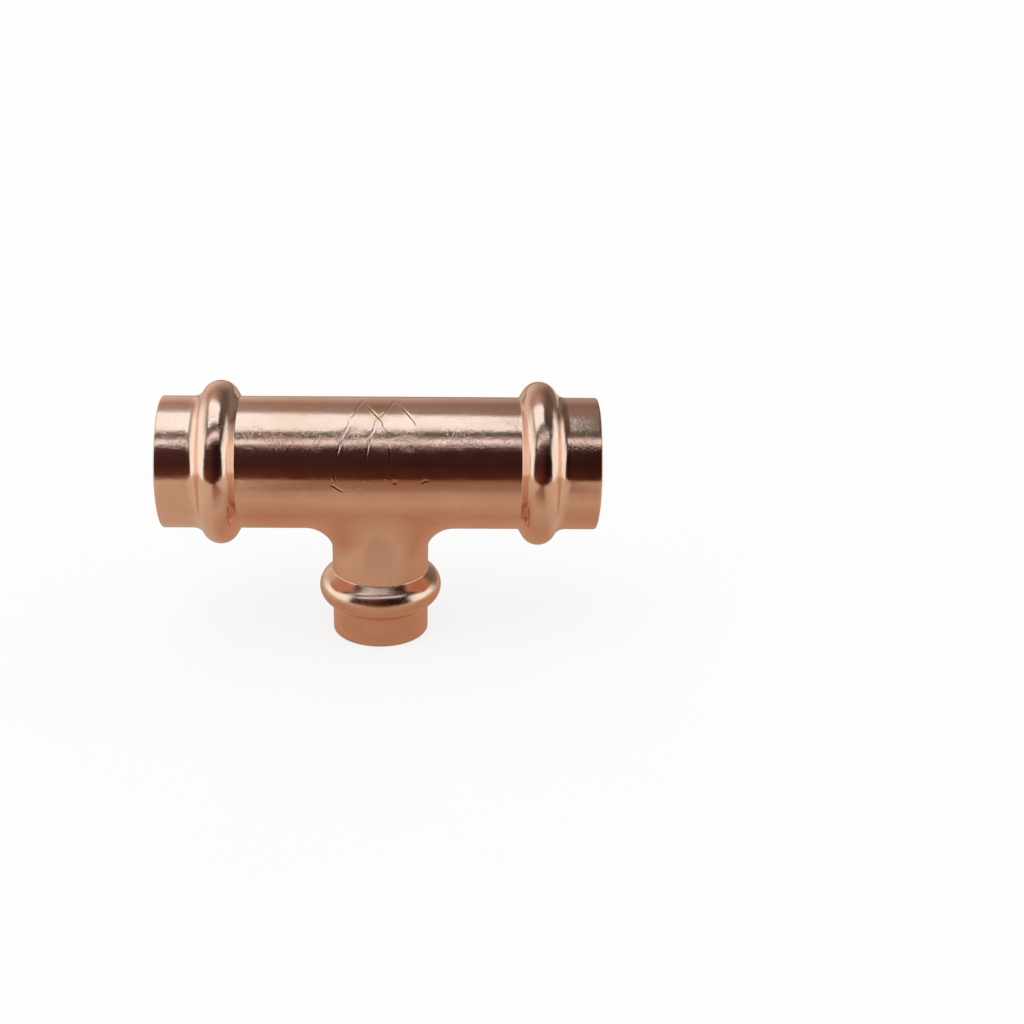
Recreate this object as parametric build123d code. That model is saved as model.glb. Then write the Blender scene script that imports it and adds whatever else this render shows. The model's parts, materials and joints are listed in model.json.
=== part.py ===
"""Copper press-fit reducing tee for hard copper tube, 22.2 mm through the run and 15.9 mm on the branch.

One seamless copper body, hydroformed from a single tube, carries three press sockets. Each socket is a plain
guide collar, a rolled bead that holds a rubber O-ring, and an ironed guide that ends in a shoulder, where the
tube stops. The three O-rings are the only loose pieces. Nothing turns or slides.

Frame: millimetres, +Z up. The tee stands on the mouth of its branch, whose centre is the origin. The run lies
along X at the height RUN_HEIGHT, and the branch points down.
"""

from build123d import *

import os
from dataclasses import dataclass
from math import cos, radians, sin

# Driving dimensions, in millimetres.
WALL = 1.2  # copper wall of collar and bead
SHOULDER = 0.5  # height of the tube stop inside each socket
SHOULDER_RUN = 0.3  # length of its sloping face
CREASE_RADIUS = 0.3  # tight curve from the bead back down to the body
CROTCH_RADIUS = 4.8  # outside blend between run and branch
INNER_CROTCH_RADIUS = 4.3  # the same blend inside
RIM_OUTER_ROUND = 0.3  # deburred outer edge of each mouth
RIM_INNER_ROUND = 0.25  # deburred inner edge of each mouth
SEAL_CLEARANCE = 0.02  # between an O-ring and the crown of its groove
CUT_OVERRUN = 1.0  # how far the hollow is cut past each mouth
SAME_PLACE = 0.01  # edges this close to where one is looked for are taken as that one


@dataclass(frozen=True)
class Port:
    """One press socket. Distances along the port are measured outwards from where the tee's two axes cross."""

    bore_radius: float  # the tube slides in here
    reach: float  # from the crossing to the mouth
    depth: float  # from the mouth to the tube stop
    bead_place: float  # from the crossing to the crown of the bead
    crown_radius: float  # outside radius of the bead at its crown
    bead_arc: float  # outside radius of the rounded crown's section
    mouth_slope: float  # degrees between the axis and the bead's straight flank, on the mouth's side
    body_slope: float  # the same on the body's side
    flare_radius: float  # concave curve from the guide collar up to the bead
    seal_section: float  # thickness of the O-ring
    core_end: float  # where the plain body takes over from the rolled end

    @property
    def outer_radius(self):
        return self.bore_radius + WALL

    @property
    def waterway_radius(self):
        return self.bore_radius - SHOULDER

    @property
    def stop_place(self):
        return self.reach - self.depth

    @property
    def crown_centre(self):
        return self.bead_place, self.crown_radius - self.bead_arc

    @property
    def seal_ring_radius(self):
        """From the port's axis to the centre of the O-ring's section."""
        groove_crown = self.crown_radius - WALL
        return groove_crown - SEAL_CLEARANCE - self.seal_section / 2


RUN_PORT = Port(
    bore_radius=11.2,
    reach=40.6,
    depth=23.0,
    bead_place=29.75,
    crown_radius=15.37,
    bead_arc=3.36,
    mouth_slope=57.0,
    body_slope=58.5,
    flare_radius=2.45,
    seal_section=3.1,
    core_end=25.0,
)
BRANCH_PORT = Port(
    bore_radius=8.02,
    reach=34.4,
    depth=19.0,
    bead_place=25.15,
    crown_radius=11.74,
    bead_arc=3.2,
    mouth_slope=52.5,
    body_slope=53.0,
    flare_radius=2.8,
    seal_section=2.65,
    core_end=21.2,
)
RUN_HEIGHT = BRANCH_PORT.reach

# Places a port that was drawn along +X, and the crossing of the axes at the origin.
LIFT = Pos(0, 0, RUN_HEIGHT)
TO_RIGHT = LIFT
TO_LEFT = LIFT * Rot(0, 0, 180)
TO_BRANCH = LIFT * Rot(0, 90, 0)


def foot_centre(port, slope, foot_radius, side):
    """Centre of the concave curve at the foot of the bead, on the bead's mouth side (1) or body side (-1). The crown,
    the straight flank and this curve run into each other without a corner."""
    turn = radians(slope)
    rise = port.crown_radius - port.outer_radius
    flank = (rise - (port.bead_arc + foot_radius) * (1 - cos(turn))) / sin(turn)
    across = (port.bead_arc + foot_radius) * sin(turn) + flank * cos(turn)
    return port.bead_place + side * across, port.outer_radius + foot_radius


def end_curve(port, inset, mouth_x):
    """The rolled end's profile from its mouth to core_end, inset from the outside surface, as a list of edges."""
    y = port.outer_radius - inset
    flare = foot_centre(port, port.mouth_slope, port.flare_radius, 1)
    crease = foot_centre(port, port.body_slope, CREASE_RADIUS, -1)
    flare_arc = CenterArc(flare, port.flare_radius + inset, -90, -port.mouth_slope)
    crown_sweep = port.mouth_slope + port.body_slope
    crown_arc = CenterArc(port.crown_centre, port.bead_arc - inset, 90 - port.mouth_slope, crown_sweep)
    crease_arc = CenterArc(crease, CREASE_RADIUS + inset, port.body_slope - 90, -port.body_slope)
    return [
        Line((mouth_x, y), (flare[0], y)),
        flare_arc,
        Line(flare_arc @ 1, crown_arc @ 0),
        crown_arc,
        Line(crown_arc @ 1, crease_arc @ 0),
        crease_arc,
        Line((crease[0], y), (port.core_end, y)),
    ]


def spin(edges):
    """The solid of revolution about X of the closed outline that the edges make."""
    return revolve(make_face(Wire(edges)), Axis.X)


def end_solid(port):
    """Collar and bead, solid to the axis."""
    y = port.outer_radius
    edges = end_curve(port, 0, port.reach)
    edges += [
        Line((port.core_end, y), (port.core_end, 0)),
        Line((port.core_end, 0), (port.reach, 0)),
        Line((port.reach, 0), (port.reach, y)),
    ]
    return spin(edges)


def end_hollow(port):
    """The space inside the collar, the bead's groove, the guide and the tube stop."""
    y = port.bore_radius
    mouth_x = port.reach + CUT_OVERRUN
    ramp_end = port.stop_place - SHOULDER_RUN
    edges = end_curve(port, WALL, mouth_x)
    edges += [
        Line((port.core_end, y), (port.stop_place, y)),
        Line((port.stop_place, y), (ramp_end, port.waterway_radius)),
        Line((ramp_end, port.waterway_radius), (ramp_end, 0)),
        Line((ramp_end, 0), (mouth_x, 0)),
        Line((mouth_x, 0), (mouth_x, y)),
    ]
    return spin(edges)


def crossing(run_radius, run_half, branch_radius, branch_length, blend):
    """Two plain round bars that cross as a tee, with the edge where they meet rounded."""
    run = Rot(0, 90, 0) * Cylinder(run_radius, 2 * run_half)
    down = (Align.CENTER, Align.CENTER, Align.MAX)
    branch = Cylinder(branch_radius, branch_length, align=down)
    tee = run + branch
    meeting = tee.edges().filter_by(GeomType.BSPLINE)
    return LIFT * fillet(meeting, blend)


def tee_body():
    outside = crossing(
        RUN_PORT.outer_radius,
        RUN_PORT.core_end,
        BRANCH_PORT.outer_radius,
        BRANCH_PORT.core_end,
        CROTCH_RADIUS,
    )
    hollow = crossing(
        RUN_PORT.waterway_radius,
        RUN_PORT.core_end,
        BRANCH_PORT.waterway_radius,
        BRANCH_PORT.core_end,
        INNER_CROTCH_RADIUS,
    )
    for place, port in PLACES:
        outside += place * end_solid(port)
        hollow += place * end_hollow(port)
    body = outside - hollow
    for place, port in PLACES:
        body = round_rim(body, place, port)
    return body


def round_rim(body, place, port):
    """Rounds the two edges of one mouth."""
    centre = (place * Pos(port.reach, 0, 0)).position
    for radius, rounding in [(port.outer_radius, RIM_OUTER_ROUND), (port.bore_radius, RIM_INNER_ROUND)]:
        circles = body.edges().filter_by(GeomType.CIRCLE)
        here = [e for e in circles if (e.arc_center - centre).length < SAME_PLACE]
        body = fillet([e for e in here if abs(e.radius - radius) < SAME_PLACE], rounding)
    return body


def seal(place, port):
    """The O-ring in one bead."""
    ring = Torus(port.seal_ring_radius, port.seal_section / 2)
    return place * Pos(port.bead_place, 0, 0) * Rot(0, 90, 0) * ring


PLACES = [(TO_LEFT, RUN_PORT), (TO_RIGHT, RUN_PORT), (TO_BRANCH, BRANCH_PORT)]

PARTS = {
    "tee_body": tee_body(),
    "run_seal_left": seal(TO_LEFT, RUN_PORT),
    "run_seal_right": seal(TO_RIGHT, RUN_PORT),
    "branch_seal": seal(TO_BRANCH, BRANCH_PORT),
}

os.makedirs("parts", exist_ok=True)
for name, shape in PARTS.items():
    export_step(shape, f"parts/{name}.step")
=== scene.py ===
# A copper press-fit reducing tee with a rubber O-ring in each of its three beads, standing on the mouth of
# its branch in a plain light tent. Lengths are in metres, and MM turns millimetres into them.

import json
import math

import bmesh
import bpy
import numpy as np
from mathutils import Matrix, Vector


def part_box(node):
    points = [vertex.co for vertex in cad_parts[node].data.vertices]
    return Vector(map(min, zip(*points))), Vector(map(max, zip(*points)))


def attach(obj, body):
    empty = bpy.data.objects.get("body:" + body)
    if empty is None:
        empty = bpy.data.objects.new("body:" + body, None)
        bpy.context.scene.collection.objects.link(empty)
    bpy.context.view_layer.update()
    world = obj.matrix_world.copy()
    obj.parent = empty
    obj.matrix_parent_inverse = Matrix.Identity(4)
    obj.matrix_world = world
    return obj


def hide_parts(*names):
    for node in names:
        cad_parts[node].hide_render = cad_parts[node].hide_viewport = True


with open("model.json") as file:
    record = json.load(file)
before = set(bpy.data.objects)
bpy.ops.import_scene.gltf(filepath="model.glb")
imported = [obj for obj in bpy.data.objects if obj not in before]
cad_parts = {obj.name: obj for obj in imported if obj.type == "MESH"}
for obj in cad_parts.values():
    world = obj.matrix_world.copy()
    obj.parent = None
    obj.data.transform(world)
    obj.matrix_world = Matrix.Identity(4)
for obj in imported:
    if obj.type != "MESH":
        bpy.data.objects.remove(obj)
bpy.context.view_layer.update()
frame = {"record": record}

MM = 0.001
MOUNTS = {m["name"]: m for m in frame["record"]["mounts"]}

# ---------------------------------------------------------------------- sizes

WALL = 1.2 * MM
SHOULDER = 0.5 * MM  # height of the tube stop in each socket
SHOULDER_RUN = 0.3 * MM  # length of its sloping face
STOP_ROUND = 0.1 * MM
CREASE = 0.3 * MM  # tight curve from bead to body
CROTCH = 4.8 * MM  # outside blend of run and branch, at the two sides of the branch
FRONT_CROTCH = 13.0 * MM  # the same in front and behind, where the two surfaces meet at a flat angle
INNER_CROTCH = 4.3 * MM
RIM_OUTER = 0.3 * MM
RIM_INNER = 0.25 * MM

LOW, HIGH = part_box("tee_body")
CROSSING = Vector((0, 0, MOUNTS["run_socket_right"]["pos_m"][2]))


class Port:
    """One press socket. Distances along it run outwards from the crossing of the tee's axes.

    slopes are the degrees between the axis and the bead's flanks, on the mouth side and on the body side.
    core_end is where the plain waterway takes over from the socket.
    """

    def __init__(self, mount, seal, axis, reach, crown, depth, bead_arc, slopes, flare, core_end):
        self.axis = axis
        self.bore = MOUNTS[mount]["dims"]["r_mm"] * MM
        self.outer = self.bore + WALL
        self.waterway = self.bore - SHOULDER
        self.reach = reach
        self.crown = crown
        self.bead_arc = bead_arc
        self.mouth_slope, self.body_slope = (math.radians(slope) for slope in slopes)
        self.flare = flare
        self.stop = reach - depth
        self.core_end = core_end
        low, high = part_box(seal)
        sizes = high - low
        self.seal_section = min(sizes)
        self.seal_radius = (max(sizes) - self.seal_section) / 2
        self.bead = (abs(((low + high) / 2 - CROSSING).dot(axis)), crown - bead_arc)

    def foot_centre(self, slope, foot, side):
        """Centre of the concave curve at the bead's foot, on the mouth side (1) or the body side (-1)."""
        arcs = self.bead_arc + foot
        flank = (self.crown - self.outer - arcs * (1 - math.cos(slope))) / math.sin(slope)
        return self.bead[0] + side * (arcs * math.sin(slope) + flank * math.cos(slope)), self.outer + foot

    @property
    def crease_place(self):
        return self.foot_centre(self.body_slope, CREASE, -1)[0]

    def place(self, along, across, up):
        """Moves points of a port drawn along +X to where this port is."""
        if self.axis.z:
            return np.stack([up, across, CROSSING.z - along], -1)
        side = self.axis.x
        return np.stack([side * along, across, CROSSING.z + up], -1)


RUN_DEPTH = 23.0 * MM
BRANCH_DEPTH = MOUNTS["branch_socket"]["dims"]["length_mm"] * MM
RUN = dict(
    reach=HIGH.x,
    crown=min(HIGH.y, HIGH.z - CROSSING.z),
    depth=RUN_DEPTH,
    bead_arc=3.36 * MM,
    slopes=(57.0, 58.5),
    flare=2.45 * MM,
    core_end=17.2 * MM,
)
LEFT = Port("run_socket_left", "run_seal_left", Vector((-1, 0, 0)), **RUN)
RIGHT = Port("run_socket_right", "run_seal_right", Vector((1, 0, 0)), **RUN)
BRANCH = Port(
    "branch_socket",
    "branch_seal",
    Vector((0, 0, -1)),
    reach=CROSSING.z - LOW.z,
    crown=11.74 * MM,
    depth=BRANCH_DEPTH,
    bead_arc=3.2 * MM,
    slopes=(52.5, 53.0),
    flare=2.8 * MM,
    core_end=15.03 * MM,
)

# ---------------------------------------------------------------------- mesh counts

AROUND_RUN = 144  # steps round the run
HOLE_ROWS = 52  # steps round the run that the branch's opening takes
HOLE_COLUMNS = 56  # steps along the run that it takes
AROUND_BRANCH = 2 * (HOLE_ROWS + HOLE_COLUMNS)
HOLE_RINGS = 8
BLEND_RINGS = 14
SPLIT = 5  # finer cells per side where the run is creased
CREASED = (10, 46, 60, 114)  # lattice steps with such cells: first and last along the run, then round it

# Steps along the stretches of a socket's profile.
CREASE_STEPS = 8
BODY_FLANK_STEPS = 6
CROWN_STEPS = 44
MOUTH_FLANK_STEPS = 3
FLARE_STEPS = 18
COLLAR_STEPS = 14
RIM_ROUND_STEPS = 7
RIM_STEPS = 5
BORE_STEPS = 10
STOP_ROUND_STEPS = 4
SAME_POINT = 0.001 * MM  # a profile point this close to the one before it is dropped

# Steps round an O-ring and round its section.
SEAL_AROUND = 160
SEAL_SECTION = 48


def arc(centre, radius, start, end, steps):
    """Points of an arc, with its two ends."""
    angles = np.linspace(start, end, steps + 1)
    return np.stack([centre[0] + radius * np.cos(angles), centre[1] + radius * np.sin(angles)], 1)


def straight(start, end, steps):
    t = np.linspace(0, 1, steps + 1)[:, None]
    return np.array(start) * (1 - t) + np.array(end) * t


def unit(v):
    return v / np.linalg.norm(v)


def rounded(points, radius, steps):
    """A line through points whose inner corners are rounded."""
    points = [np.array(p, float) for p in points]
    out = [points[:1]]
    for before, corner, after in zip(points, points[1:], points[2:]):
        u, v = unit(before - corner), unit(after - corner)
        half = math.acos(np.clip(u @ v, -1, 1)) / 2
        centre = corner + unit(u + v) * radius / math.sin(half)
        first = corner + u * radius / math.tan(half) - centre
        last = corner + v * radius / math.tan(half) - centre
        start = math.atan2(first[1], first[0])
        turn = math.atan2(first[0] * last[1] - first[1] * last[0], first @ last)
        out.append(arc(centre, radius, start, start + turn, steps))
    out.append(points[-1:])
    return np.concatenate(out)


def bead_curve(port, inset, crease, flare):
    """The bead as lines of points: its foot on the body side, flank, crown, flank and the other foot."""
    quarter = math.pi / 2
    to_crease, to_flare = quarter + port.body_slope, quarter - port.mouth_slope
    crease_arc = arc(crease, CREASE + inset, -quarter, to_crease - math.pi, CREASE_STEPS)
    crown_arc = arc(port.bead, port.bead_arc - inset, to_crease, to_flare, CROWN_STEPS)
    flare_arc = arc(flare, port.flare + inset, to_flare - math.pi, -quarter, FLARE_STEPS)
    body_flank = straight(crease_arc[-1], crown_arc[0], BODY_FLANK_STEPS)
    mouth_flank = straight(crown_arc[-1], flare_arc[0], MOUTH_FLANK_STEPS)
    return [crease_arc, body_flank, crown_arc, mouth_flank, flare_arc]


def socket_profile(port):
    """Distance along the port and radius, from the bead's body side to the mouth and in to the waterway."""
    mouth = port.reach
    outer_rim = (mouth - RIM_OUTER, port.outer - RIM_OUTER)
    inner_rim = (mouth - RIM_INNER, port.bore + RIM_INNER)
    crease = port.foot_centre(port.body_slope, CREASE, -1)
    flare = port.foot_centre(port.mouth_slope, port.flare, 1)
    quarter = math.pi / 2
    ramp_end = port.stop - SHOULDER_RUN
    stop = [
        (crease[0], port.bore),
        (port.stop, port.bore),
        (ramp_end, port.waterway),
        (port.core_end, port.waterway),
    ]
    pieces = [
        *bead_curve(port, 0, crease, flare),
        straight((flare[0], port.outer), (outer_rim[0], port.outer), COLLAR_STEPS),
        arc(outer_rim, RIM_OUTER, quarter, 0, RIM_ROUND_STEPS),
        straight((mouth, outer_rim[1]), (mouth, inner_rim[1]), RIM_STEPS),
        arc(inner_rim, RIM_INNER, 0, -quarter, RIM_ROUND_STEPS),
        straight((inner_rim[0], port.bore), (flare[0], port.bore), BORE_STEPS),
        *[part[::-1] for part in bead_curve(port, WALL, crease, flare)[::-1]],
        rounded(stop, STOP_ROUND, STOP_ROUND_STEPS),
    ]
    profile = np.concatenate(pieces)
    kept = np.linalg.norm(np.diff(profile, axis=0), axis=1) > SAME_POINT
    return np.concatenate([profile[:1], profile[1:][kept]])


def hole_curve(run, branch, side_blend, front_blend):
    """Where the blend between a run and a branch of these radii touches each of them, round the branch.

    Returns the points on the run, on the branch, and the centres and radii of the ball between them, about
    the crossing. The ball grows from side_blend at the branch's sides to front_blend in front and behind.
    """
    turn = np.arange(AROUND_BRANCH) * 2 * math.pi / AROUND_BRANCH
    blend = side_blend + (front_blend - side_blend) * np.sin(turn) ** 2
    x, y = (branch + blend) * np.cos(turn), (branch + blend) * np.sin(turn)
    z = -np.sqrt((run + blend) ** 2 - y**2)
    centre = np.stack([x, y, z], 1)
    on_branch = np.stack([branch * np.cos(turn), branch * np.sin(turn), z], 1)
    share = run / (run + blend)
    on_run = np.stack([x, y * share, z * share], 1)
    return on_run, on_branch, centre, blend[:, None]


class Skin:
    """A mesh built up from grids of points, whose meeting edges are welded at the end."""

    def __init__(self):
        self.points, self.faces, self.count = [], [], 0

    def add(self, points, faces):
        points = np.asarray(points, float).reshape(-1, 3)
        self.faces += [[i + self.count for i in face] for face in faces]
        self.points.append(points)
        self.count += len(points)

    def add_grid(self, grid):
        """grid is rows of closed rings of points."""
        rows, around = grid.shape[:2]
        cells = []
        for r in range(rows - 1):
            for c in range(around):
                n = (c + 1) % around
                cells.append((r * around + c, r * around + n, (r + 1) * around + n, (r + 1) * around + c))
        self.add(grid, cells)


def run_point(x, turn, radius):
    """A point of the run's wall, turn being measured about +X from straight down."""
    return np.stack([x, radius * np.sin(turn), -radius * np.cos(turn)], -1)


def add_core(skin, run, branch, blends, run_end, branch_end, hole_half, creased=None):
    """The middle of the tee, outside or inside: the run with its opening, the blend, and the plain branch.

    creased is the stretch of the run, in lattice steps, that gets finer cells.
    """
    step_turn = 2 * math.pi / AROUND_RUN
    step_x = 2 * hole_half / HOLE_COLUMNS
    outer_columns = round((run_end - hole_half) / step_x)
    edges = np.concatenate([
        np.linspace(-run_end, -hole_half, outer_columns + 1),
        np.linspace(-hole_half, hole_half, HOLE_COLUMNS + 1)[1:],
        np.linspace(hole_half, run_end, outer_columns + 1)[1:],
    ])
    first_column, half_rows = outer_columns, HOLE_ROWS // 2
    last_column = first_column + HOLE_COLUMNS

    def in_hole(i, j):
        return first_column <= i < last_column and not half_rows <= j % AROUND_RUN < AROUND_RUN - half_rows

    def fine(i, j):
        if creased is None:
            return False
        return creased[0] <= i - first_column < creased[1] and creased[2] <= j % AROUND_RUN < creased[3]

    keys, faces = {}, []

    def at(i, j):
        return keys.setdefault((i, j % (AROUND_RUN * SPLIT)), len(keys))

    corners = [(0, 0), (1, 0), (1, 1), (0, 1)]
    for i in range(len(edges) - 1):
        for j in range(AROUND_RUN):
            if in_hole(i, j):
                continue
            if fine(i, j):
                for a in range(i * SPLIT, (i + 1) * SPLIT):
                    for b in range(j * SPLIT, (j + 1) * SPLIT):
                        faces.append([at(a + p, b + q) for p, q in corners])
                continue
            # A plain cell takes in the points of finer cells beside it, so that no gap opens.
            face = []
            beside = [fine(i, j - 1), fine(i + 1, j), fine(i, j + 1), fine(i - 1, j)]
            for k, (p, q) in enumerate(corners):
                dx, dy = corners[(k + 1) % 4][0] - p, corners[(k + 1) % 4][1] - q
                for s in range(SPLIT if beside[k] else 1):
                    face.append(at((i + p) * SPLIT + dx * s, (j + q) * SPLIT + dy * s))
            faces.append(face)
    lattice = np.array(list(keys))
    x = np.interp(lattice[:, 0] / SPLIT, np.arange(len(edges)), edges)
    points = run_point(x, lattice[:, 1] * step_turn / SPLIT, run)
    skin.add(points + np.array(CROSSING), faces)

    on_run, on_branch, centre, blend = hole_curve(run, branch, *blends)
    wide = np.linspace(-hole_half, hole_half, HOLE_COLUMNS + 1)
    tall = np.arange(-half_rows, half_rows + 1) * step_turn
    border = [(hole_half, t) for t in tall[half_rows:-1]]
    border += [(x, tall[-1]) for x in wide[:0:-1]]
    border += [(-hole_half, t) for t in tall[:0:-1]]
    border += [(x, tall[0]) for x in wide[:-1]]
    border += [(hole_half, t) for t in tall[:half_rows]]
    border = np.array(border)
    inner = np.stack([on_run[:, 0], np.arcsin(on_run[:, 1] / run)], 1)
    rings = []
    for k in range(HOLE_RINGS + 1):
        mixed = border + (inner - border) * k / HOLE_RINGS
        rings.append(run_point(mixed[:, 0], mixed[:, 1], run))
    toward_run, toward_branch = (on_run - centre) / blend, (on_branch - centre) / blend
    between = np.arccos(np.clip((toward_run * toward_branch).sum(1), -1, 1))[:, None]
    for k in range(1, BLEND_RINGS + 1):
        t = k / BLEND_RINGS
        direction = toward_run * np.sin((1 - t) * between) + toward_branch * np.sin(t * between)
        rings.append(centre + blend * direction / np.sin(between))
    for k in range(1, BLEND_RINGS + 1):
        ring = on_branch.copy()
        ring[:, 2] += (-branch_end - ring[:, 2]) * k / BLEND_RINGS
        rings.append(ring)
    skin.add_grid(np.array(rings) + np.array(CROSSING))


# ---------------------------------------------------------------------- marks on the copper

# Places on the run are (along the run, round it from the crown towards the front), both in millimetres.


class Crease:
    """A fold that the forming left in the surface: a fine groove with a low lip along one side of it."""

    TAPER = 1.2  # millimetres over which each end fades out
    UNEVEN = 0.14  # how far the depth wanders
    WANDER = (2.3, 0.9)  # how fast it wanders, in radians per millimetre
    LIP_PLACE = 2.1  # in half widths from the middle of the groove
    LIP_WIDTH = 1.5

    def __init__(self, path, depth=0.08, lip=0.022, side=1, half_width=0.15):
        self.path, self.depth, self.lip, self.side, self.half_width = path, depth, lip, side, half_width

    def line(self, steps=12):
        """The path as a Catmull-Rom curve of many points."""
        p = np.array([self.path[0], *self.path, self.path[-1]], float)
        t = np.linspace(0, 1, steps, endpoint=False)[:, None]
        spans = []
        for a, b, c, d in zip(p, p[1:], p[2:], p[3:]):
            bend = (2 * a - 5 * b + 4 * c - d) * t**2 + (3 * b - a - 3 * c + d) * t**3
            spans.append((2 * b + (c - a) * t + bend) / 2)
        return np.concatenate([*spans, p[-1:]])

    def height(self, at):
        """Height in millimetres that this adds to the surface at each place."""
        line = self.line()
        start, step = line[:-1], np.diff(line, axis=0)
        length = np.linalg.norm(step, axis=1)
        along = step / length[:, None]
        away = at[:, None] - start[None]
        t = np.clip((away * along).sum(2), 0, length)
        gap = away - t[:, :, None] * along
        distance = np.linalg.norm(gap, axis=2)
        nearest = distance.argmin(1)
        rows = np.arange(len(at))
        d, t = distance[rows, nearest], t[rows, nearest]
        gap, along = gap[rows, nearest], along[nearest]
        s = np.sign(along[:, 0] * gap[:, 1] - along[:, 1] * gap[:, 0]) * d * self.side
        run = np.concatenate([[0], np.cumsum(length)])
        travel = run[nearest] + t
        ends = np.clip(np.minimum(travel, run[-1] - travel) / self.TAPER, 0, 1)
        fast, slow = self.WANDER
        wander = np.sin(travel * fast + run[-1]) * np.sin(travel * slow)
        uneven = (1 - self.UNEVEN) + self.UNEVEN * wander
        w = self.half_width
        groove = -self.depth * np.exp(-((s / w) ** 2))
        ridge = self.lip * np.exp(-(((s - self.LIP_PLACE * w) / (self.LIP_WIDTH * w)) ** 2))
        return (groove + ridge) * ends * (3 - 2 * ends) * ends * uneven


class Dent:
    """A shallow hollow, or with a negative depth a swelling, of two half widths."""

    def __init__(self, place, size, depth):
        self.place, self.size, self.depth = np.array(place, float), np.array(size, float), depth

    def height(self, at):
        return -self.depth * np.exp(-(((at - self.place) / self.size) ** 2).sum(1))


LEFT_FOLD = [
    (-2.7, -0.2), (-3.5, 2), (-4.6, 4.8), (-5.2, 6), (-5.5, 7.6), (-6.1, 9.1), (-6.9, 11.2), (-7.5, 14),
]
TOP_FOLD = [(-3, 0.6), (-1.6, -1.2), (0.3, -2.5), (2.3, -0.8), (4.2, -0.4)]
FALLING_FOLD = [
    (-3.1, 0.6), (-2.1, 2.7), (-0.5, 5.3), (0.6, 6.8), (0.9, 7.9), (1.5, 9.3), (1.9, 11.4), (2.2, 14.6),
]
CROSSING_FOLD = [
    (2.9, 0.4), (1.7, 3.4), (0.4, 5.3), (-0.5, 6.6), (-0.9, 8.5), (-1.7, 10.6), (-2, 12.8), (-2.3, 15),
]
RIGHT_FOLD = [(2.1, 0.3), (3.1, 1.4), (4.5, 3.6), (5.7, 5.6), (6.4, 6.6), (7.2, 8.4)]
MARKS = [
    Crease(LEFT_FOLD, side=-1),
    Crease(TOP_FOLD, depth=0.03, lip=0.01),
    Crease(FALLING_FOLD),
    Crease(CROSSING_FOLD, side=-1),
    Crease(RIGHT_FOLD),
    Crease([(-8.2, 15.6), (-8, 17.4), (-7.6, 18.8)], depth=0.03),
    Crease([(-9.2, 18.9), (-8.2, 19.2), (-7, 20), (-5.8, 20.6)]),
    Crease([(-6.2, 19.8), (-4.8, 20.6)], depth=0.03),
    Crease([(-4.4, 19.7), (-3, 20.6)], depth=0.03),
    Crease([(-2.9, 17.9), (-2.7, 18.9), (-2.2, 20)], depth=0.045),
    Crease([(7.4, 19), (8.3, 18.2), (9.4, 18.2)]),
    Crease([(0.8, 17), (2.4, 18)], depth=0.035),
    Dent((-6.2, 9.8), (1.0, 0.9), 0.045),
    Dent((-4.9, 8.9), (1.1, 0.7), 0.035),
    Dent((-3.4, 10.2), (1.2, 0.8), -0.025),
    Dent((5.0, 10.6), (1.1, 0.9), 0.045),
    Dent((6.2, 9.2), (0.8, 0.9), -0.03),
    Dent((5.6, 12.2), (1.0, 0.7), 0.035),
    Dent((0, 8.4), (0.6, 0.9), 0.03),
    Dent((0.2, 1.2), (1.8, 1.8), 0.03),
    Dent((3.0, 18.5), (0.35, 0.3), 0.06),
]
MARKED = ((-12, 12), (-6, 22))  # the marks all lie within this stretch along and round the run

# Scuffed and tarnished spots: a place and two half widths each.
SCUFFS = [((-5, 9.6), (2.4, 2.2)), ((5.6, 10.4), (2.2, 2.4)), ((0, 8.6), (1.6, 2))]
TARNISHES = [((9.4, 9.3), (3.2, 1.0)), ((0, 5.8), (1.2, 1)), ((0, 3), (2, 1.6))]


def run_places(points):
    """Where points of the run lie on its surface, in millimetres."""
    turn = np.arctan2(-points[:, 1], points[:, 2] - CROSSING.z)
    return np.stack([points[:, 0] / MM, turn * RIGHT.outer / MM], 1)


def mark(points):
    """Presses the marks into points of the run's outer surface."""
    at = run_places(points)
    low, high = np.transpose(MARKED)
    near = ((at > low) & (at < high)).all(1)
    height = np.zeros(len(points))
    height[near] = sum(m.height(at[near]) for m in MARKS)
    outwards = points - np.array(CROSSING)
    outwards[:, 0] = 0
    outwards /= np.linalg.norm(outwards, axis=1)[:, None]
    return points + outwards * height[:, None] * MM


# ---------------------------------------------------------------------- the pieces

# Half the length of the patch, along the run, that the branch opens from, outside and inside.
RUN_HOLE_HALF = 16.5 * MM
INNER_HOLE_HALF = 14.5 * MM
WELD_REACH = 0.0005 * MM

# Where the finish changes, in millimetres.
BRANCH_START = 12  # below the run's axis
BRANCH_FADE = 4
BEAD_FADE = 1.2
RIM_FADE = 0.3
RIM_LEAD = 0.02
SPECKLED_PLACE = 10  # round the run from its crown
SPECKLED_SPREAD = 3.5


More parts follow.
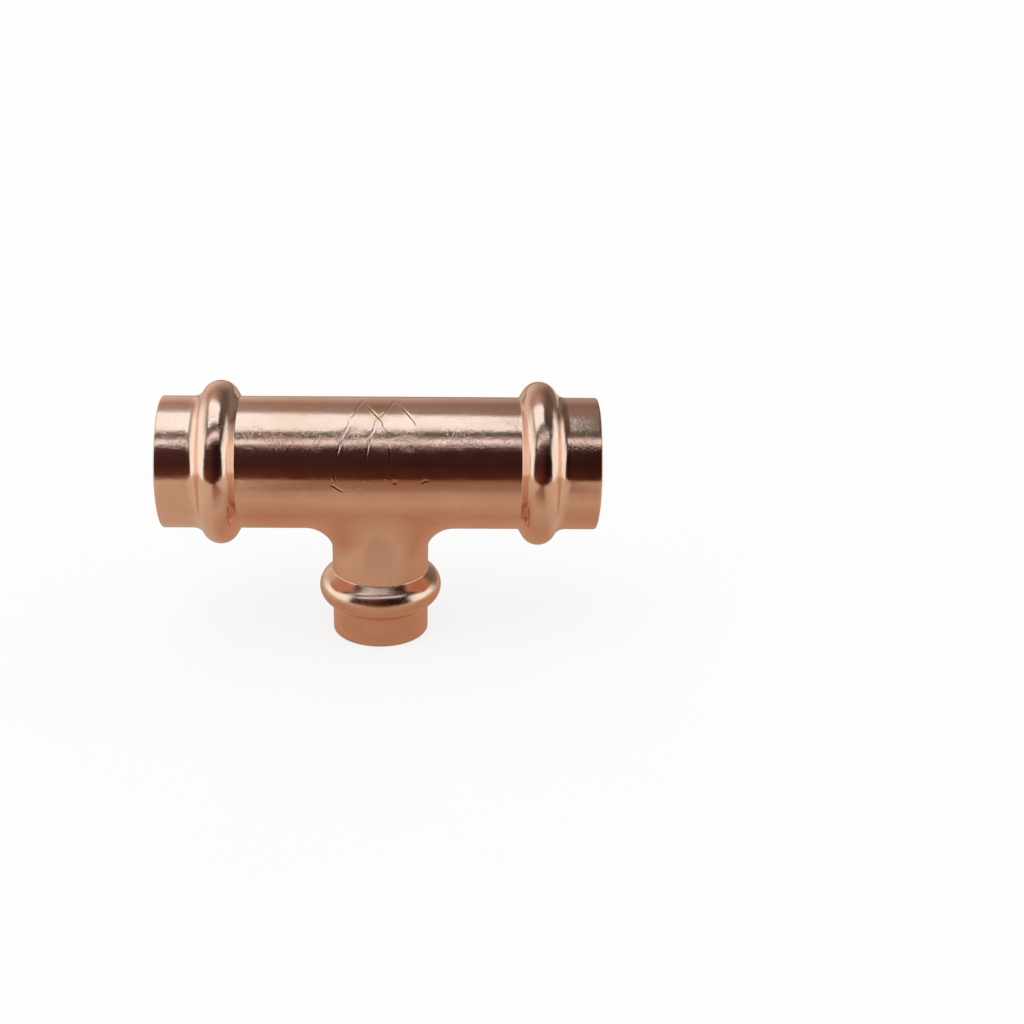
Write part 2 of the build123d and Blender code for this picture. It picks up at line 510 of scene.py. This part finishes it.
def zones(points):
    """Values that the copper's finish reads at each point: 0 to 1 for each zone."""
    p = (points - np.array(CROSSING)) / MM
    run_radius = np.hypot(p[:, 1], p[:, 2])
    branch_radius = np.hypot(p[:, 0], p[:, 1])
    on_branch = np.clip((-p[:, 2] - BRANCH_START) / BRANCH_FADE, 0, 1)
    radius = np.where(on_branch > 0, branch_radius, run_radius)
    outer = np.where(on_branch > 0, BRANCH.outer, RIGHT.outer) / MM
    bead = np.clip((radius - outer) / BEAD_FADE, 0, 1)
    past = np.maximum(np.abs(p[:, 0]) - RIGHT.reach / MM, -p[:, 2] - BRANCH.reach / MM)
    rim = np.clip(1 + (past + RIM_LEAD) / RIM_FADE, 0, 1)
    at = run_places(points)
    on_run = (on_branch == 0) * (bead < 0.5)
    scuff, tarnish = (
        np.max([np.exp(-(((at - place) / size) ** 2).sum(1)) for place, size in spots], 0) * on_run
        for spots in (SCUFFS, TARNISHES)
    )
    shoulder = np.exp(-(((at[:, 1] - SPECKLED_PLACE) / SPECKLED_SPREAD) ** 2)) * (on_branch == 0)
    return {
        "branch": on_branch,
        "bead": bead,
        "rim": rim,
        "shoulder": shoulder,
        "scuff": scuff,
        "tarnish": tarnish,
    }


def tee_shell():
    """The copper body, a closed skin with its inside."""
    outside, inside = Skin(), Skin()
    for port, around in [(LEFT, AROUND_RUN), (RIGHT, AROUND_RUN), (BRANCH, AROUND_BRANCH)]:
        profile = socket_profile(port)
        rim_middle = (port.reach, port.bore + WALL / 2)
        mouth = int(np.argmin(np.abs(profile - rim_middle).sum(1)))
        turn = np.arange(around) * 2 * math.pi / around
        for skin, part in [(outside, profile[: mouth + 1]), (inside, profile[mouth:])]:
            along = np.repeat(part[:, :1], around, 1)
            skin.add_grid(port.place(along, part[:, 1:] * np.sin(turn), part[:, 1:] * np.cos(turn)))
    ends = (RIGHT.crease_place, BRANCH.crease_place)
    add_core(outside, RIGHT.outer, BRANCH.outer, (CROTCH, FRONT_CROTCH), *ends, RUN_HOLE_HALF, CREASED)
    ends = (RIGHT.core_end, BRANCH.core_end)
    blends = (INNER_CROTCH, INNER_CROTCH)
    add_core(inside, RIGHT.waterway, BRANCH.waterway, blends, *ends, INNER_HOLE_HALF)
    outer_points = mark(np.concatenate(outside.points))
    inner_points = np.concatenate(inside.points)
    points = np.concatenate([outer_points, inner_points])
    faces = outside.faces + [[i + outside.count for i in f] for f in inside.faces]
    values = zones(points)
    values["inside"] = np.r_[np.zeros(outside.count), np.ones(inside.count)]
    values["inside"] *= 1 - values["rim"]
    data = bpy.data.meshes.new("tee_shell")
    data.from_pydata(points.tolist(), [], faces)
    for name, value in values.items():
        data.attributes.new(name, "FLOAT", "POINT").data.foreach_set("value", value.astype(np.float32))
    weld(data)
    return data


def weld(data):
    """Joins the points that lie on each other, turns the faces outwards and smooths their shading."""
    work = bmesh.new()
    work.from_mesh(data)
    bmesh.ops.remove_doubles(work, verts=work.verts, dist=WELD_REACH)
    bmesh.ops.recalc_face_normals(work, faces=work.faces)
    for face in work.faces:
        face.smooth = True
    work.to_mesh(data)
    work.free()


PARTING_HEIGHT = 0.03 * MM
PARTING_WIDTH = 0.035  # in radians of the section


def o_ring(name, port):
    """A moulded ring with a fine parting line round its inside and outside."""
    radius = port.seal_section / 2
    turn = np.arange(SEAL_SECTION + 1) * 2 * math.pi / SEAL_SECTION
    line = np.exp(-((np.sin(turn) / PARTING_WIDTH) ** 2))
    r = radius - PARTING_HEIGHT + PARTING_HEIGHT * line
    along = port.bead[0] + r * np.sin(turn)
    distance = port.seal_radius + r * np.cos(turn)
    ring = np.arange(SEAL_AROUND) * 2 * math.pi / SEAL_AROUND
    skin = Skin()
    grid_along = np.repeat(along[:, None], SEAL_AROUND, 1)
    skin.add_grid(port.place(grid_along, distance[:, None] * np.sin(ring), distance[:, None] * np.cos(ring)))
    data = bpy.data.meshes.new(name)
    data.from_pydata(np.concatenate(skin.points).tolist(), [], skin.faces)
    weld(data)
    return data


def piece(name, data, material, stands_for):
    shown = bpy.data.objects.new(name, data)
    bpy.context.scene.collection.objects.link(shown)
    data.materials.append(material)
    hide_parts(stands_for)
    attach(shown, "root")
    return shown


# ---------------------------------------------------------------------- finishes


class Finish:
    """A material's nodes, with short ways to add and join them."""

    def __init__(self, name):
        self.material = bpy.data.materials.new(name)
        self.material.use_nodes = True
        self.nodes = self.material.node_tree.nodes
        self.links = self.material.node_tree.links
        self.nodes.clear()

    def add(self, kind, inputs=(), **settings):
        node = self.nodes.new(kind)
        for name, value in settings.items():
            setattr(node, name, value)
        for socket, value in dict(inputs).items():
            self.join(value, node.inputs[socket])
        return node

    def join(self, value, socket):
        if isinstance(value, bpy.types.Node):
            value = value.outputs[0]
        if isinstance(value, bpy.types.NodeSocket):
            self.links.new(value, socket)
        else:
            socket.default_value = value

    def math(self, operation, a, b=0.0, c=0.0):
        return self.add("ShaderNodeMath", {0: a, 1: b, 2: c}, operation=operation)

    def stretch(self, place, by):
        return self.add("ShaderNodeVectorMath", {0: place, 1: by}, operation="MULTIPLY")

    def noise(self, place, scale, detail=2.0, roughness=0.5, distortion=0.0):
        inputs = {"Vector": place, "Scale": scale, "Detail": detail}
        inputs |= {"Roughness": roughness, "Distortion": distortion}
        return self.add("ShaderNodeTexNoise", inputs, noise_dimensions="3D")

    def span(self, value, low, high, to_low=0.0, to_high=1.0):
        """value, with low to high spread over to_low to to_high and held there outside them."""
        inputs = {"Value": value, "From Min": low, "From Max": high, "To Min": to_low, "To Max": to_high}
        return self.add("ShaderNodeMapRange", inputs, clamp=True)

    def blend(self, share, a, b, mode="MIX"):
        node = self.add("ShaderNodeMix", data_type="RGBA", blend_type=mode)
        for socket, value in zip((node.inputs[0], node.inputs[6], node.inputs[7]), (share, a, b)):
            self.join(value, socket)
        return node.outputs[2]

    def zone(self, name):
        return self.add("ShaderNodeAttribute", attribute_name=name).outputs["Fac"]

    def bump(self, height, distance, before=None):
        inputs = {"Height": height, "Distance": distance}
        if before:
            inputs["Normal"] = before
        return self.add("ShaderNodeBump", inputs)

    def millimetres(self):
        place = self.add("ShaderNodeTexCoord").outputs["Object"]
        return self.add("ShaderNodeVectorMath", {0: place, "Scale": 1 / MM}, operation="SCALE")

    def surface(self, shader):
        self.add("ShaderNodeOutputMaterial", {"Surface": shader})
        return self.material


COPPER = (0.95, 0.65, 0.54, 1)
DULL_COPPER = (0.87, 0.56, 0.44, 1)
STAINED_COPPER = (0.72, 0.48, 0.31, 1)
INNER_COPPER = (0.64, 0.40, 0.30, 1)
RUBBER_BLACK = (0.022, 0.022, 0.024, 1)
RUBBER_BLOOM = (0.04, 0.04, 0.041, 1)


def copper_colour(f, at, drawn):
    """Clouded and mottled copper with stained spots. Noise scales are per millimetre here and below."""
    cloudy = f.noise(at, 0.09, 3)
    mottled = f.noise(at, 0.9, 4, 0.6)
    colour = f.blend(f.span(cloudy, 0.35, 0.7), COPPER, DULL_COPPER)
    colour = f.blend(f.span(mottled, 0.45, 0.75, 0, 0.3), colour, DULL_COPPER)
    colour = f.blend(f.span(drawn, 0.5, 0.75, 0, 0.3), colour, DULL_COPPER)
    stain = f.math("MULTIPLY", f.span(f.noise(at, 0.22, 4, 0.65, 0.8), 0.6, 0.72), 0.35)
    stain = f.math("MAXIMUM", stain, f.zone("tarnish"))
    colour = f.blend(stain, colour, STAINED_COPPER)
    return f.blend(f.zone("inside"), colour, INNER_COPPER)


def copper_roughness(f, at, drawn):
    """A bright surface, duller along the drawing grain, on scuffs and rims, inside, and on the branch."""
    rough = f.span(f.noise(at, 0.35, 3), 0.3, 0.7, 0.11, 0.19)
    rough = f.math("ADD", rough, f.span(drawn, 0.5, 0.8, 0, 0.08))
    worn = f.span(f.noise(at, 2.2, 3), 0.4, 0.65)
    scuffed = f.math("MULTIPLY", f.zone("scuff"), worn)
    rim, inside, branch = f.zone("rim"), f.zone("inside"), f.zone("branch")
    for share, added in [(scuffed, 0.16), (rim, 0.12), (inside, 0.2), (branch, 0.06)]:
        rough = f.math("MULTIPLY_ADD", share, added, rough)
    return rough


def copper_bumps(f, at, drawn):
    """From the widest to the finest: waves, orange peel, specks, grain, drawing lines and turned lines."""
    shoulder, scuff, branch = f.zone("shoulder"), f.zone("scuff"), f.zone("branch")
    normal = f.bump(f.noise(at, 0.22, 1), 0.024 * MM)

    patchy = f.span(f.noise(at, 0.16, 2), 0.35, 0.65, 0.35, 1)
    peel = f.math("MULTIPLY", f.noise(at, 1.3, 2, 0.45), f.math("MULTIPLY_ADD", shoulder, 0.9, patchy))
    normal = f.bump(peel, 0.012 * MM, normal)

    specks = f.span(f.noise(at, 2.6, 3, 0.7), 0.54, 0.66)
    speckled = f.math("MULTIPLY", shoulder, f.span(f.noise(at, 0.3, 2), 0.42, 0.58))
    normal = f.bump(f.math("MULTIPLY", specks, speckled), 0.010 * MM, normal)

    grain = f.math("MULTIPLY", f.noise(at, 5.0, 2, 0.6), f.math("MULTIPLY_ADD", scuff, 3, 0.4))
    normal = f.bump(grain, 0.003 * MM, normal)

    lines = f.math("MULTIPLY", drawn, f.math("MULTIPLY_ADD", branch, -0.6, 1))
    normal = f.bump(lines, 0.005 * MM, normal)

    turned = f.noise(f.stretch(at, (6, 0.15, 0.15)), 1.0, 2, 0.6)
    turned_zone = f.math("MAXIMUM", f.zone("bead"), f.zone("rim"))
    return f.bump(f.math("MULTIPLY", turned, turned_zone), 0.004 * MM, normal)


def copper():
    f = Finish("drawn_copper")
    at = f.millimetres()
    run_drawn = f.noise(f.stretch(at, (0.035, 1, 1)), 1.6, 3, 0.6)
    branch_drawn = f.noise(f.stretch(at, (1, 1, 0.05)), 1.6, 3, 0.6)
    drawn = f.blend(f.zone("branch"), run_drawn.outputs["Fac"], branch_drawn.outputs["Fac"])
    inputs = {
        "Base Color": copper_colour(f, at, drawn),
        "Metallic": 1.0,
        "Roughness": copper_roughness(f, at, drawn),
        "Normal": copper_bumps(f, at, drawn),
    }
    return f.surface(f.add("ShaderNodeBsdfPrincipled", inputs))


def rubber():
    f = Finish("moulded_rubber")
    at = f.millimetres()
    colour = f.blend(f.span(f.noise(at, 0.8, 4), 0.4, 0.7), RUBBER_BLACK, RUBBER_BLOOM)
    rough = f.span(f.noise(at, 1.5, 3), 0.3, 0.7, 0.38, 0.52)
    normal = f.bump(f.noise(at, 6, 3, 0.6), 0.004 * MM)
    inputs = {"Base Color": colour, "Roughness": rough, "Normal": normal}
    return f.surface(f.add("ShaderNodeBsdfPrincipled", inputs))


piece("tee_shell", tee_shell(), copper(), "tee_body")
RUBBER = rubber()
for name, port, node in [
    ("o_ring_left", LEFT, "run_seal_left"),
    ("o_ring_right", RIGHT, "run_seal_right"),
    ("o_ring_branch", BRANCH, "branch_seal"),
]:
    piece(name, o_ring(name, port), RUBBER, node)

# ---------------------------------------------------------------------- floor and light

# The copper is a mirror, so its look is what stands around it: an overhead box, a strip in front, two side
# boxes, the table, and a dome with the dark opening that the camera looks through. Only reflections see
# these. Their places and sizes are in metres.

# The light that the copper sees, each colour in linear red, green and blue.
SOFTBOX = (1.07, 1.26, 1.32)
STRIP = (1.0, 1.04, 1.06)
SIDE_BOX = (1.06, 1.20, 1.16)

TENT_RADIUS = 2.5
TENT_DIMMING = (-0.25, 0.35, 1.0, 0.3)  # from -0.25 to 0.35 along x, as a direction, full light falls to 0.3
TENT_PROFILE = [  # degrees up from the front and on over the top to the back, and the colour there
    (-30, (0.080, 0.028, 0.018)),
    (2, (0.10, 0.030, 0.020)),
    (15, (0.055, 0.020, 0.017)),
    (42, (0.060, 0.026, 0.022)),
    (66, (0.15, 0.12, 0.12)),
    (84, (0.22, 0.20, 0.18)),
    (120, (0.46, 0.38, 0.32)),
    (142, (0.42, 0.29, 0.24)),
    (156, (0.60, 0.48, 0.41)),
    (170, (0.72, 0.62, 0.54)),
    (210, (0.72, 0.62, 0.54)),
]

TABLE_HALF = 0.9
TABLE_FRONT = -235 * MM  # the table's front edge
TABLE_TOP = -0.5 * MM
TABLE_MIDDLE = 8  # millimetres along x; to both sides of here the table is out of the fitting's shade
TABLE_ASIDE_FROM = (34, 50)  # millimetres from the middle over which its colour changes to that aside
TABLE_FAR_ASIDE_FROM = (55, 90)
TABLE_ASIDE = (0.56, 0.43, 0.32)
TABLE_FAR_ASIDE = (0.62, 0.52, 0.40)
TABLE_PROFILE = [  # millimetres in front of the fitting, and the colour there
    (0, (0.50, 0.31, 0.20)),
    (12, (0.45, 0.28, 0.18)),
    (38, (0.52, 0.39, 0.28)),
    (55, (0.47, 0.34, 0.25)),
    (68, (0.44, 0.31, 0.23)),
    (80, (0.34, 0.20, 0.14)),
    (110, (0.32, 0.19, 0.13)),
    (200, (0.28, 0.16, 0.10)),
]

PANEL_CUTS = 12


def flat_mesh(name, corners, cuts=1):
    """A sheet through four corners, in order round it, of cuts by cuts cells."""
    a, b, c, d = (np.array(p, float) for p in corners)
    data = bpy.data.meshes.new(name)
    steps = np.linspace(0, 1, cuts + 1)
    u, v = (grid[..., None] for grid in np.meshgrid(steps, steps, indexing="ij"))
    points = (1 - u) * (1 - v) * a + u * (1 - v) * b + u * v * c + (1 - u) * v * d
    cells = []
    for i in range(cuts):
        for j in range(cuts):
            first = i * (cuts + 1) + j
            cells.append((first, first + cuts + 1, first + cuts + 2, first + 1))
    data.from_pydata(points.reshape(-1, 3).tolist(), [], cells)
    places = np.concatenate([u, v], -1).reshape(-1, 2)
    layer = data.uv_layers.new(name="panel")
    layer.data.foreach_set("uv", places[np.array(cells).ravel()].ravel())
    return data


def put(name, data, material):
    shown = bpy.data.objects.new(name, data)
    bpy.context.scene.collection.objects.link(shown)
    data.materials.append(material)
    return shown


def only_reflections(shown):
    shown.visible_camera = False
    shown.visible_diffuse = False
    shown.visible_shadow = False
    shown.visible_transmission = False
    shown.visible_volume_scatter = False


def panel(name, corners, colour, fade):
    """A glowing panel, see-through towards its edges. fade is the share of the panel that each edge fades
    over: (left, right, near, far), for corners given left near, right near, right far, left far."""
    f = Finish(name)
    uv = f.add("ShaderNodeUVMap", uv_map="panel")
    split = f.add("ShaderNodeSeparateXYZ", {0: uv})
    u, v = split.outputs[0], split.outputs[1]
    share = None
    for socket, width, start in [(u, fade[0], 0), (u, fade[1], 1), (v, fade[2], 0), (v, fade[3], 1)]:
        if not width:
            continue
        edge = f.add(
            "ShaderNodeMapRange",
            {"Value": socket, "From Min": start, "From Max": abs(start - width)},
            interpolation_type="SMOOTHSTEP",
        )
        share = f.math("MULTIPLY", share, edge) if share else edge
    glow = f.add("ShaderNodeEmission", {"Color": (*colour, 1)})
    if share:
        clear = f.add("ShaderNodeBsdfTransparent")
        glow = f.add("ShaderNodeMixShader", {0: share, 1: clear, 2: glow})
    only_reflections(put(name, flat_mesh(name, corners, PANEL_CUTS), f.surface(glow)))


def tent():
    """The soft walls and the dark opening, a dome coloured by direction from the object."""
    f = Finish("tent")
    place = f.add("ShaderNodeTexCoord").outputs["Object"]
    away = f.add("ShaderNodeVectorMath", {0: place}, operation="NORMALIZE")
    split = f.add("ShaderNodeSeparateXYZ", {0: away})
    x, y, z = split.outputs
    back = f.math("MULTIPLY", y, -1)
    rise = f.math("DEGREES", f.math("ARCTAN2", z, back))
    colour = ramp(f, rise, TENT_PROFILE)
    dimmer = f.span(x, *TENT_DIMMING)
    glow = f.add("ShaderNodeEmission", {"Color": colour, "Strength": dimmer})
    data = bpy.data.meshes.new("tent")
    ball = bmesh.new()
    bmesh.ops.create_icosphere(ball, subdivisions=5, radius=TENT_RADIUS)
    ball.to_mesh(data)
    ball.free()
    shown = put("tent", data, f.surface(glow))
    shown.location = CROSSING
    only_reflections(shown)


def ramp(f, value, stops):
    """The colour that stops give at value, each stop being a value and a colour."""
    low, high = stops[0][0], stops[-1][0]
    node = f.add("ShaderNodeValToRGB", {0: f.span(value, low, high)})
    elements = node.color_ramp.elements
    while len(elements) < len(stops):
        elements.new(0.5)
    for element, (place, colour) in zip(elements, stops):
        element.position = (place - low) / (high - low)
        element.color = (*colour, 1)
    return node.outputs[0]


def table():
    """What the copper sees of the table: darker and warmer in the middle, in the fitting's shade."""
    f = Finish("table")
    at = f.millimetres()
    split = f.add("ShaderNodeSeparateXYZ", {0: at})
    x, front = split.outputs[0], f.math("MULTIPLY", split.outputs[1], -1)
    colour = ramp(f, front, TABLE_PROFILE)
    aside = f.math("ABSOLUTE", f.math("SUBTRACT", x, TABLE_MIDDLE))
    colour = f.blend(f.span(aside, *TABLE_ASIDE_FROM), colour, (*TABLE_ASIDE, 1))
    colour = f.blend(f.span(aside, *TABLE_FAR_ASIDE_FROM), colour, (*TABLE_FAR_ASIDE, 1))
    glow = f.add("ShaderNodeEmission", {"Color": colour})
    left, right, back = -TABLE_HALF, TABLE_HALF, TABLE_HALF
    plan = [(left, TABLE_FRONT), (right, TABLE_FRONT), (right, back), (left, back)]
    corners = [(x, y, TABLE_TOP) for x, y in plan]
    only_reflections(put("table", flat_mesh("table", corners), f.surface(glow)))


def overhead(name, corners, height, colour, fade):
    """A level light over the fitting, height above the run's axis."""
    panel(name, [(x, y, CROSSING.z + height) for x, y in corners], colour, fade)


def side(name, x, front, back, top, colour, fade):
    """An upright light beside the fitting. fade is that of its front, back, bottom and top edge."""
    panel(name, [(x, front, 0), (x, back, 0), (x, back, top), (x, front, top)], colour, fade)


def strip(name, x, rise, reach, half_width, colour, fade):
    """A long light across the front, its face square to the fitting. x and rise are those of its left and
    right end, rise being the angle in degrees up from the front."""
    low, high = [], []
    for end, angle in zip(x, map(math.radians, rise)):
        middle = Vector((end, -math.cos(angle) * reach, math.sin(angle) * reach)) + CROSSING
        up = Vector((0, math.sin(angle), math.cos(angle))) * half_width
        low.append(middle - up)
        high.append(middle + up)
    panel(name, [*low, *high[::-1]], colour, fade)


FLOOR_GLOW = 0.80  # a lit white sheet, on which the fitting's shadow stays faint
FLOOR_TONE = (0.150, 0.156)
FLOOR_RADIUS = 3.0


def floor():
    """The plain floor, seen from above only, and not by reflections, which see the table."""
    f = Finish("pale_floor")
    at = f.millimetres()
    tone = f.span(f.noise(at, 0.02, 2), 0.3, 0.7, *FLOOR_TONE)
    colour = f.add("ShaderNodeCombineColor", {0: tone, 1: tone, 2: tone})
    matt = f.add("ShaderNodeBsdfDiffuse", {"Color": colour})
    bright = f.add("ShaderNodeEmission", {"Color": (1, 1, 1, 1), "Strength": FLOOR_GLOW})
    matt = f.add("ShaderNodeAddShader", {0: matt, 1: bright})
    behind = f.add("ShaderNodeNewGeometry").outputs["Backfacing"]
    clear = f.add("ShaderNodeBsdfTransparent")
    data = bpy.data.meshes.new("floor")
    disc = bmesh.new()
    bmesh.ops.create_circle(disc, cap_ends=True, segments=96, radius=FLOOR_RADIUS)
    disc.to_mesh(data)
    disc.free()
    shown = put("floor", data, f.surface(f.add("ShaderNodeMixShader", {0: behind, 1: matt, 2: clear})))
    shown.visible_glossy = False


WORLD = (0.98, 0.98, 0.98, 1)
SUN_STRENGTH = 0.82
SUN_WIDTH = 50  # degrees
SUN_TILT = (20, -15, 0)  # degrees about x, y and z


def light():
    """A white surround and a broad, soft sun. The dome hides the surround from reflections."""
    world = bpy.data.worlds.new("studio")
    world.use_nodes = True
    background = world.node_tree.nodes["Background"]
    background.inputs["Color"].default_value = WORLD
    bpy.context.scene.world = world
    sun = bpy.data.lights.new("overhead_sun", "SUN")
    sun.energy = SUN_STRENGTH
    sun.angle = math.radians(SUN_WIDTH)
    lamp = bpy.data.objects.new("overhead_sun", sun)
    lamp.rotation_euler = [math.radians(tilt) for tilt in SUN_TILT]
    lamp.visible_glossy = False
    bpy.context.scene.collection.objects.link(lamp)


floor()
light()
tent()
table()
overhead(
    "overhead_box",
    corners=[(-0.135, -0.076), (0.06, -0.046), (0.06, 0.063), (-0.135, 0.124)],
    height=0.18,
    colour=SOFTBOX,
    fade=(0.10, 0.13, 0.12, 0.25),
)
strip(
    "front_strip",
    x=(-0.4, 0.4),
    rise=(48.5, 64.5),
    reach=0.5,
    half_width=0.085,
    colour=STRIP,
    fade=(0.1, 0.1, 0.45, 0.45),
)
side("left_box", x=-0.25, front=-0.175, back=0.32, top=0.38, colour=SIDE_BOX, fade=(0.07, 0.5, 0, 0.65))
side("right_box", x=0.25, front=-0.175, back=0.19, top=0.25, colour=SIDE_BOX, fade=(0.1, 0.35, 0, 0.4))

# ---------------------------------------------------------------------- camera

SENSOR_WIDTH = 36.0  # millimetres
CAMERA_LENS = 53.967  # millimetres
CAMERA_REACH = 289.47 * MM  # from the crossing of the tee's axes
CAMERA_TURN = 1.433  # degrees round the fitting
CAMERA_RISE = 21.504
LOOK_TURN = -0.996  # where it points
LOOK_DOWN = 23.341
CAMERA_ROLL = 0.668
CAMERA_SHIFT = 0.0703  # the fitting stands left of the middle


def camera():
    data = bpy.data.cameras.new("camera")
    data.lens = CAMERA_LENS
    data.sensor_width = SENSOR_WIDTH
    data.shift_x = CAMERA_SHIFT
    data.clip_start, data.clip_end = 0.01, 10.0
    turn, rise = math.radians(CAMERA_TURN), math.radians(CAMERA_RISE)
    back = Vector((math.sin(turn) * math.cos(rise), -math.cos(turn) * math.cos(rise), math.sin(rise)))
    yaw, down, roll = (math.radians(a) for a in (LOOK_TURN, LOOK_DOWN, CAMERA_ROLL))
    forward = Vector((-math.sin(yaw) * math.cos(down), math.cos(yaw) * math.cos(down), -math.sin(down)))
    right = Vector((math.cos(yaw), math.sin(yaw), 0))
    up = right.cross(forward)
    rolled_right = math.cos(roll) * right + math.sin(roll) * up
    rolled_up = math.cos(roll) * up - math.sin(roll) * right
    axes = Matrix((rolled_right, rolled_up, -forward)).transposed()
    shown = bpy.data.objects.new("camera", data)
    shown.matrix_world = Matrix.Translation(CROSSING + back * CAMERA_REACH) @ axes.to_4x4()
    bpy.context.scene.collection.objects.link(shown)
    bpy.context.scene.camera = shown


camera()
bpy.context.scene.view_settings.view_transform = "Standard"
